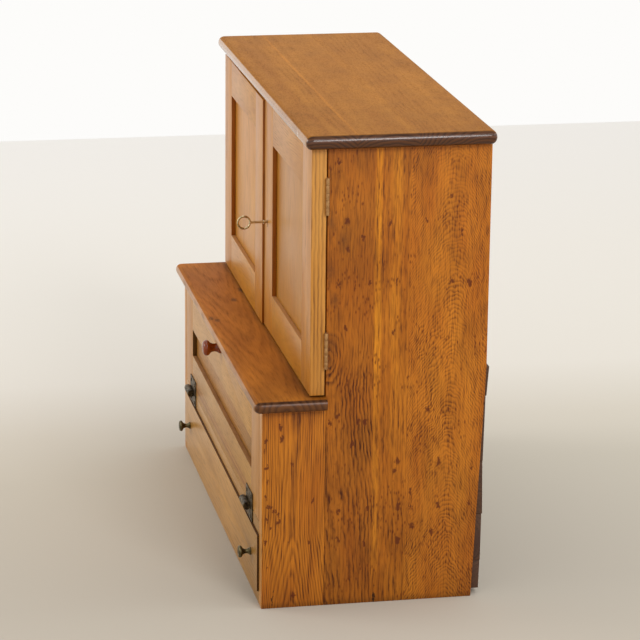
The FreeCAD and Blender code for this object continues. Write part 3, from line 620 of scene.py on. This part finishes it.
# Turned knob: close red-brown wood, polished until it mirrors the lamps.
knobWood = dict(
    varnishedOak, axes="XZY", faceMm=267, honey="#98420C", amber="#702A06", pore="#341004",
    rough=(0.06, 0.1), gloss=0.4, bump=0.05, boards=({"depth": 30, "ring": 2.2, "contrast": 0.4},))
woodLooks = {
    "oakRightSide": sideOak, "oakSideFront": sideFrontOak, "oakLeftSide": leftSideOak,
    "oakTop": topOak, "oakTopNosingSheen": topNosingSheen, "oakStep": stepOak, "oakStepNosingSheen": stepNosingSheen,
    "oakStile": stileOak, "oakPanel": panelOak, "oakDoorEdge": doorEdge, "oakRecessShade": recessShadeOak,
    "oakFlapRecessShade": flapRecessShade, "oakRail": railOak, "oakFlapRail": flapRail, "oakFlapStile": flapStile,
    "oakDoorLedge": doorLedge, "oakFlapLedge": flapLedge, "oakWornEdge": wornEdge, "oakFront": frontOak,
    "oakFlapPanel": flapPanel, "oakDrawerEdgeShadeAndGrime": drawerEdgeShadeAndGrime, "oldBackBoard": backWood,
    "bareInnerWood": innerWood, "turnedKnobWood": knobWood,
}
woods = {name: makeWood(name, look) for name, look in woodLooks.items()}
print("woods made")

# What the metals share: soft stains, a little proud of the surface.
metalSurface = {"stainDetail": 4, "stainLimits": (0.35, 0.65), "bump": 0.15, "bumpMm": 0.2}


def makeMetal(name, look):
    material, tree, shader = newMaterial(name)
    stain = addNode(tree, "TexNoise", {
        "Vector": addNode(tree, "TexCoord")["Object"], "Scale": mmPerMetre / look["stainMm"],
        "Detail": metalSurface["stainDetail"]})[0]
    low, high = metalSurface["stainLimits"]
    stain = addNode(tree, "MapRange", {"Value": stain, "From Min": low, "From Max": high})[0]
    colour = addNode(tree, "Mix", {
        0: stain, 6: linear(look["bright"]), 7: linear(look["dull"])}, data_type="RGBA")[2]
    clean, stained = look["rough"]
    rough = addNode(tree, "MapRange", {"Value": stain, "To Min": clean, "To Max": stained})[0]
    height = metalSurface["bumpMm"] / mmPerMetre
    bump = addNode(tree, "Bump", {
        "Strength": metalSurface["bump"], "Distance": height, "Height": stain})[0]
    for output, title in ((colour, "Base Color"), (rough, "Roughness"), (bump, "Normal")):
        tree.links.new(output, shader[title])
    shader["Metallic"].default_value = look["metallic"]
    return material


hingeBrass = makeMetal("tarnishedHingeBrass", {  # rolled brass gone dull tan, with no sharp shine
    "bright": "#C79C6A", "dull": "#A67C50", "stainMm": 5, "rough": (0.4, 0.6), "metallic": 1.0})
knobBrass = makeMetal("brownedKnobBrass", {  # turned brass, handled to an olive brown
    "bright": "#746A4C", "dull": "#443A26", "stainMm": 4, "rough": (0.3, 0.5), "metallic": 1.0})
darkBronze = makeMetal("darkBronze", {  # bronzed cast iron, almost black, with brown bright spots
    "bright": "#6B5A40", "dull": "#2A2014", "stainMm": 6, "rough": (0.35, 0.55), "metallic": 0.9})
keyMetal = makeMetal("wornKeySteel", {  # plated steel, yellowed with handling and still bright
    "bright": "#D8C8A4", "dull": "#9A8054", "stainMm": 4, "rough": (0.16, 0.3), "metallic": 1.0})
metals = (hingeBrass, knobBrass, darkBronze, keyMetal)
print("metals made")

dressing = {
    "mergeM": 2e-6, "flatDeg": 0.4,  # corners this close are one, and so are faces this flat to each other
    "cornerDeg": 40, "smoothDeg": 24,  # sharper edges are bevelled, and flatter ones are shaded smooth
    "bevelSteps": 2, "bevelProfile": 0.6,
    "boardMm": 0.9, "frameMm": 0.35, "metalMm": 0.15,  # widths of the bevels
}


def dressNode(node, finish, bevelMm, edge=None, isEdge=None):
    source = frame["nodes"][node]
    mesh = bmesh.new()
    mesh.from_mesh(source.data)
    flat, corner, smooth = (math.radians(dressing[key]) for key in ("flatDeg", "cornerDeg", "smoothDeg"))
    bmesh.ops.remove_doubles(mesh, verts=mesh.verts, dist=dressing["mergeM"])
    bmesh.ops.dissolve_limit(mesh, angle_limit=flat, verts=mesh.verts, edges=mesh.edges)
    bmesh.ops.recalc_face_normals(mesh, faces=mesh.faces)
    if bevelMm:
        corners = [line for line in mesh.edges
                   if len(line.link_faces) == 2 and line.calc_face_angle() > corner]
        bmesh.ops.bevel(mesh, geom=corners, offset=bevelMm / mmPerMetre, segments=dressing["bevelSteps"],
                        profile=dressing["bevelProfile"], affect="EDGES", clamp_overlap=True)
    for face in mesh.faces:
        face.smooth = True
        face.material_index = 1 if edge and isEdge(face.normal) else 0
    for line in mesh.edges:
        line.smooth = len(line.link_faces) == 2 and line.calc_face_angle() < smooth
    data = bpy.data.meshes.new(node + "Dressed")
    mesh.to_mesh(data)
    mesh.free()
    data.materials.append(finish)
    if edge:
        data.materials.append(edge)
    piece = bpy.data.objects.new(node + "Dressed", data)
    scene.collection.objects.link(piece)
    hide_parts(node)
    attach(piece, source["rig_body"])


finishes = {
    "top_board": woods["oakTop"], "step_board": woods["oakStep"],
    "right_side_board": woods["oakRightSide"], "right_side_front_board": woods["oakSideFront"],
    "left_side_board": woods["oakLeftSide"], "left_side_front_board": woods["oakLeftSide"],
    "drawer_front": woods["oakFront"], "divider_board": woods["oakFront"], "bottom_board": woods["oakFront"],
    "flap_knob": woods["turnedKnobWood"], "key": keyMetal,
    "left_door_strike_plate": keyMetal, "drawer_left_knob": knobBrass, "drawer_right_knob": knobBrass,
    "lock_case": hingeBrass, "lock_bolt": hingeBrass,
}
faceTests = {  # which faces of a piece take its second finish, by their normal
    "rightFace": lambda normal: normal.x > 0.9,
    "upperFace": lambda normal: normal.z > 0.9,
    "frontFace": lambda normal: normal.y < -0.7,
    "allButUpper": lambda normal: normal.z < 0.6,
    "allButFrontAndBack": lambda normal: abs(normal.y) < 0.7,
    "rearRightCorner": lambda normal: normal.x > 0.3 and normal.y > 0.3,
    "frontCorners": lambda normal: normal.y < -0.3 and abs(normal.z) > 0.3,
}
secondFinishes = {
    "top_board": ("oakTopNosingSheen", "allButUpper"), "step_board": ("oakStepNosingSheen", "allButUpper"),
    "right_side_board": ("oakWornEdge", "rearRightCorner"),
    "left_side_front_board": ("oakStile", "frontFace"), "right_side_front_board": ("oakStile", "frontFace"),
    "left_door_bottom_rail": ("oakDoorLedge", "upperFace"),
    "right_door_bottom_rail": ("oakDoorLedge", "upperFace"),
    "right_door_hinge_stile": ("oakDoorEdge", "rightFace"),
    "right_door_meeting_stile": ("oakRecessShade", "rightFace"),
    "left_door_hinge_stile": ("oakRecessShade", "rightFace"),
    "left_door_meeting_stile": ("oakRecessShade", "rightFace"),
    "flap_bottom_rail": ("oakFlapLedge", "upperFace"), "flap_left_stile": ("oakFlapRecessShade", "rightFace"),
    "divider_board": ("oakDrawerEdgeShadeAndGrime", "frontCorners"),
    "drawer_front": ("oakDrawerEdgeShadeAndGrime", "allButFrontAndBack"),
}
# Pieces that the CAD has rounded already, so they get no bevel.
roundPieces = ("top_board", "step_board", "flap_knob", "drawer_left_knob", "drawer_right_knob", "key")


def finishOf(node):
    family = "oakFlap" if node.startswith("flap") else "oak"
    if node in finishes:
        return finishes[node]
    if "door_hinge_" in node and not node.endswith("stile"):
        return hingeBrass
    if node.startswith("flap_hinge_"):
        return darkBronze
    if node.startswith("back_board"):
        return woods["oldBackBoard"]
    if node.endswith("stile"):
        return woods[family + "Stile"]
    if node.endswith("rail"):
        return woods[family + "Rail"]
    if node.endswith("panel"):
        return woods[family + "Panel"]
    return woods["bareInnerWood"]


def bevelOf(node, finish):
    if node in roundPieces or node.endswith("pins"):
        return 0
    if finish in metals:
        return dressing["metalMm"]
    if node.endswith(("stile", "rail")):
        return dressing["frameMm"]
    return dressing["boardMm"]


for node in sorted(frame["nodes"]):
    finish = finishOf(node)
    second = ()
    if node in secondFinishes:
        name, test = secondFinishes[node]
        second = (woods[name], faceTests[test])
    dressNode(node, finish, bevelOf(node, finish), *second)
print("pieces dressed")

headShape = {"sides": 20, "slotReach": 3.0}  # the slot's cutter is this many radii long


def makeHeadTree():
    # A slotted head set on every point, turned to the way the point faces.
    tree = bpy.data.node_groups.new("slottedHeads", "GeometryNodeTree")
    sockets = {"points": "Geometry", "headMm": "Float", "riseMm": "Float", "slotMm": "Float", "seed": "Int",
               "finish": "Material"}
    for title, kind in sockets.items():
        tree.interface.new_socket(title, in_out="INPUT", socket_type="NodeSocket" + kind)
    tree.interface.new_socket("heads", in_out="OUTPUT", socket_type="NodeSocketGeometry")
    given = addNode(tree, "NodeGroupInput")
    radius = addNode(tree, "Math", {0: given["headMm"], 1: 0.5 / mmPerMetre}, operation="MULTIPLY")[0]
    rise = addNode(tree, "Math", {0: given["riseMm"], 1: 1 / mmPerMetre}, operation="MULTIPLY")[0]
    slot = addNode(tree, "Math", {0: given["slotMm"], 1: 1 / mmPerMetre}, operation="MULTIPLY")[0]
    half = addNode(tree, "Math", {0: rise, 1: 0.5}, operation="MULTIPLY")[0]
    disc = addNode(tree, "GeometryNodeMeshCylinder", {
        "Vertices": headShape["sides"], "Radius": radius, "Depth": rise})[0]
    lift = addNode(tree, "CombineXYZ", {"Z": half})[0]
    disc = addNode(tree, "GeometryNodeTransform", {0: disc, "Translation": lift})[0]
    reach = addNode(tree, "Math", {0: radius, 1: headShape["slotReach"]}, operation="MULTIPLY")[0]
    size = addNode(tree, "CombineXYZ", {"X": reach, "Y": slot, "Z": rise})[0]
    cutter = addNode(tree, "GeometryNodeMeshCube", {"Size": size})[0]
    lift = addNode(tree, "CombineXYZ", {"Z": rise})[0]
    cutter = addNode(tree, "GeometryNodeTransform", {0: cutter, "Translation": lift})[0]
    head = addNode(tree, "GeometryNodeMeshBoolean", {0: disc, 1: cutter}, operation="DIFFERENCE")[0]
    facing = addNode(tree, "GeometryNodeInputNamedAttribute", {0: "facing"}, data_type="FLOAT_VECTOR")[0]
    turn = addNode(tree, "FunctionNodeAlignRotationToVector", {"Vector": facing}, axis="Z")[0]
    heads = addNode(tree, "GeometryNodeInstanceOnPoints", {
        0: given["points"], "Instance": head, "Rotation": turn})[0]
    spin = addNode(tree, "FunctionNodeRandomValue", {"Seed": given["seed"]}, data_type="FLOAT")[1]
    spin = addNode(tree, "Math", {0: spin, 1: math.pi}, operation="MULTIPLY")[0]
    spin = addNode(tree, "CombineXYZ", {"Z": spin})[0]
    heads = addNode(tree, "GeometryNodeRotateInstances", {0: heads, "Rotation": spin})[0]
    heads = addNode(tree, "GeometryNodeRealizeInstances", {0: heads})[0]
    heads = addNode(tree, "GeometryNodeSetMaterial", {0: heads, "Material": given["finish"]})[0]
    addNode(tree, "NodeGroupOutput", {0: heads})
    return tree


slottedHeads = makeHeadTree()


def setHeads(name, look, placesMm, facing, body):
    mesh = bpy.data.meshes.new(name)
    mesh.from_pydata([[v / mmPerMetre for v in place] for place in placesMm], [], [])
    ways = mesh.attributes.new("facing", "FLOAT_VECTOR", "POINT")
    ways.data.foreach_set("vector", list(facing) * len(placesMm))
    piece = bpy.data.objects.new(name, mesh)
    scene.collection.objects.link(piece)
    modifier = piece.modifiers.new("heads", "NODES")
    modifier.node_group = slottedHeads
    for item in slottedHeads.interface.items_tree:
        if item.in_out == "INPUT" and item.name in look:
            modifier[item.identifier] = look[item.name]
    shaped = bpy.data.meshes.new_from_object(piece.evaluated_get(bpy.context.evaluated_depsgraph_get()))
    piece.modifiers.remove(modifier)
    piece.data = shaped
    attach(piece, body)


def boxMm(node):  # the low and the high corner of a CAD piece
    points = [vert.co * mmPerMetre for vert in frame["nodes"][node].data.vertices]
    return [[round(pick(point[axis] for point in points), 3) for axis in range(3)] for pick in (min, max)]


ironScrew = {"headMm": 5.2, "riseMm": 0.8, "slotMm": 0.9, "seed": 3, "finish": darkBronze,
             "slot": "dark_bronzed_iron"}
lockScrew = dict(ironScrew, finish=knobBrass, slot="aged_brass")
brassScrew = dict(lockScrew, headMm=5.5, riseMm=0.05, slotMm=0.8, seed=5)
steelScrew = dict(ironScrew, headMm=4.2, riseMm=0.4, seed=8, finish=keyMetal, slot="worn_steel")
nail = dict(ironScrew, headMm=4.5, riseMm=0.4, slotMm=0.02, seed=11)
forward, backward = (0, -1, 0), (0, 1, 0)

# Two surface hinges under the fall front, with a pair of screws in each leaf.
flapHinges = {"lengthMm": 50, "screwsMm": (-16, 16), "leafMm": 1.6, "fromTopMm": 6.5, "fromBottomMm": 5.5}
(left, _, _), (right, woodY, leafTop) = boxMm("flap_hinge_flap_leaves")
leafBottom = boxMm("flap_hinge_rail_leaves")[0][2]
half = flapHinges["lengthMm"] / 2
flapScrews = [(middle + step, woodY - flapHinges["leafMm"])
              for middle in (left + half, right - half) for step in flapHinges["screwsMm"]]
flapLeafZ, railLeafZ = leafTop - flapHinges["fromTopMm"], leafBottom + flapHinges["fromBottomMm"]
setHeads("flapLeafScrews", ironScrew, [(x, y, flapLeafZ) for x, y in flapScrews], forward, "flap")
setHeads("railLeafScrews", ironScrew, [(x, y, railLeafZ) for x, y in flapScrews], forward, "case")

# Two butt hinges to a door, with a row of sunk screws in each leaf, placed from the hinge line.
doorHinges = {"lengthMm": 50, "screwsMm": (-17, 0, 17), "rowMm": 9.881, "leafFaceMm": 0.1}
leftHinge = next(joint for joint in frame["joints"] if joint["name"] == "left_door_hinge")
hingeX, hingeY = (round(v * mmPerMetre, 3) for v in leftHinge["pos_m"][:2])
ajar = -math.radians(leftHinge["range_deg"][0])  # the left door stands this far open at rest
leftBackward = (math.sin(ajar), math.cos(ajar), 0)


def onLeftDoor(x, y, z):  # from its place in a closed door to its place in the open one
    reach, back = x - hingeX, y - hingeY
    return (hingeX + reach * math.cos(ajar) + back * math.sin(ajar),
            hingeY + back * math.cos(ajar) - reach * math.sin(ajar), z)


(_, _, bottom), (_, _, top) = boxMm("left_door_hinge_case_leaves")
half = doorHinges["lengthMm"] / 2
rowZ = [middle + step for middle in (bottom + half, top - half) for step in doorHinges["screwsMm"]]
rowX = hingeX + doorHinges["rowMm"]
caseY, doorY = hingeY + doorHinges["leafFaceMm"], hingeY - doorHinges["leafFaceMm"]
setHeads("caseLeafScrews", brassScrew, [(x, caseY, z) for x in (rowX, -rowX) for z in rowZ], forward, "case")
setHeads("rightLeafScrews", brassScrew, [(-rowX, doorY, z) for z in rowZ], backward, "right_door")
setHeads("leftLeafScrews", brassScrew, [onLeftDoor(rowX, doorY, z) for z in rowZ], leftBackward, "left_door")

strikePlate = {"middleXMm": -12.5, "fromBottomMm": (3.5, 23.5)}
bottom = boxMm("left_door_strike_plate")[0][2]
strikeZ = [bottom + up for up in strikePlate["fromBottomMm"]]
strikeScrews = [onLeftDoor(strikePlate["middleXMm"], hingeY, z) for z in strikeZ]
setHeads("strikeScrews", steelScrew, strikeScrews, leftBackward, "left_door")

lockCase = {"fromCornerMm": 4}
(left, _, bottom), (right, rear, top) = boxMm("lock_case")
inset = lockCase["fromCornerMm"]
lockScrews = [(x, rear, z) for x in (left + inset, right - inset) for z in (bottom + inset, top - inset)]
setHeads("lockScrews", lockScrew, lockScrews, backward, "right_door")

# Four nails at each end of a back board, in its outer face, which leans.
backNails = {"fromEndMm": (7.8, 15.8), "heightShares": (0.25, 0.75)}
nails = []
for node in sorted(frame["nodes"]):
    if node.startswith("back_board"):
        (left, inner, _), (right, outer, _) = boxMm(node)
        corners = [vert.co * mmPerMetre for vert in frame["nodes"][node].data.vertices]
        corners = [corner for corner in corners if corner.y > (inner + outer) / 2]
        bottom = min(corners, key=lambda corner: corner.z)
        top = max(corners, key=lambda corner: corner.z)
        near, far = backNails["fromEndMm"]
        for share in backNails["heightShares"]:
            spot = bottom.lerp(top, share)
            nails += [(x, spot.y, spot.z) for x in (left + near, left + far, right - far, right - near)]
setHeads("backBoardNails", nail, nails, backward, "case")
print("screws and nails set")
